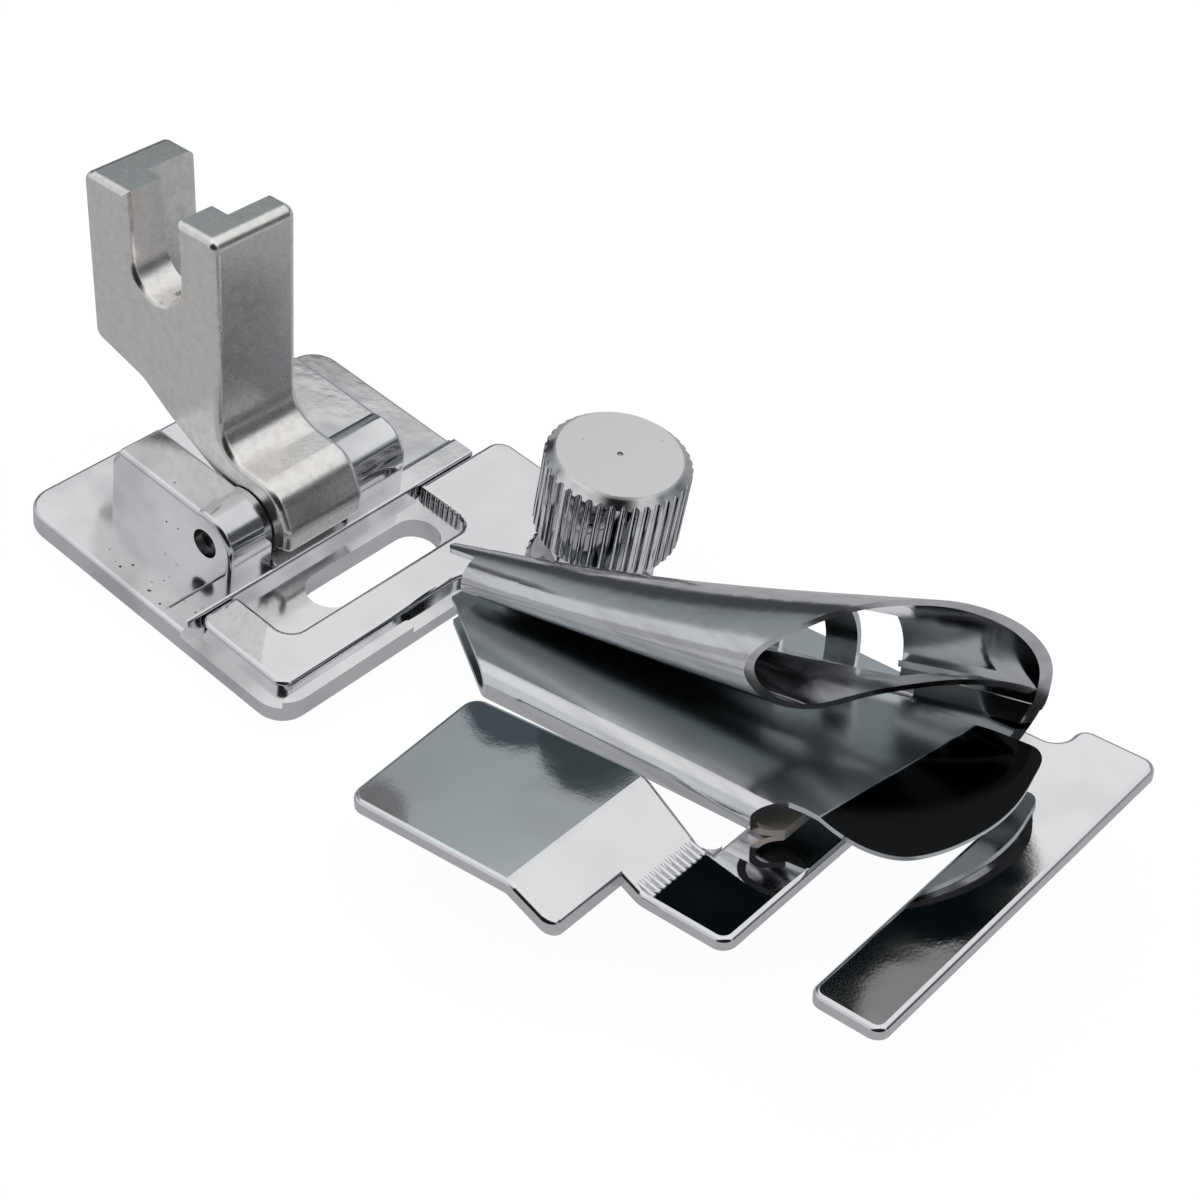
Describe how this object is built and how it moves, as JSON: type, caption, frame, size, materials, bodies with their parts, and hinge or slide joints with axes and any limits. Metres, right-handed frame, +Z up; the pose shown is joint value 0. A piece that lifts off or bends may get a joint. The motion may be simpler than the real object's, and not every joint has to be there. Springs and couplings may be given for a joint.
{
  "type": "sewing machine presser foot",
  "caption": "Low shank binder presser foot with a rolled tape scroll, a raised fabric shelf and a guide plate clamped by a knurled thumb screw.",
  "frame": {"origin": "on the sole plane, inside the needle slot, where the needle comes down", "axes": "+X to the machine's right, +Y away from the operator, +Z up from the sole"},
  "size_m": [0.0344, 0.0689, 0.0225],
  "materials": {
    "cast_chrome": "bright plated casting with small pits",
    "pin_steel": "dull turned steel",
    "satin_nickel": "satin nickel with fine grain",
    "plate_chrome": "polished plated sheet",
    "rolled_sheet": "bright rolled sheet with faint drawing lines",
    "turned_chrome": "bright turned and knurled"
  },
  "bodies": {
    "foot": {"base": "cast_chrome", "hinge_pin": "pin_steel"},
    "shank": {"shank": "satin_nickel"},
    "binder": {"binder_plate": "plate_chrome", "scroll": "rolled_sheet"},
    "screw": {"thumb_screw": "turned_chrome"}
  },
  "joints": [
    {"name": "shank_hinge", "type": "hinge", "parent": "foot", "child": "shank", "pos_m": [0, 0.00638, 0.00404], "axis": [1, 0, 0], "range_deg": [0, 12]},
    {"name": "binder_slide", "type": "slide", "parent": "foot", "child": "binder", "axis": [1, 0, 0], "range_m": [-0.0017, 0.0017]},
    {"name": "screw_turn", "type": "hinge", "parent": "foot", "child": "screw", "pos_m": [0.01294, -0.00852, 0.0023], "axis": [0, 0, 1], "range_deg": [0, 360]}
  ]
}
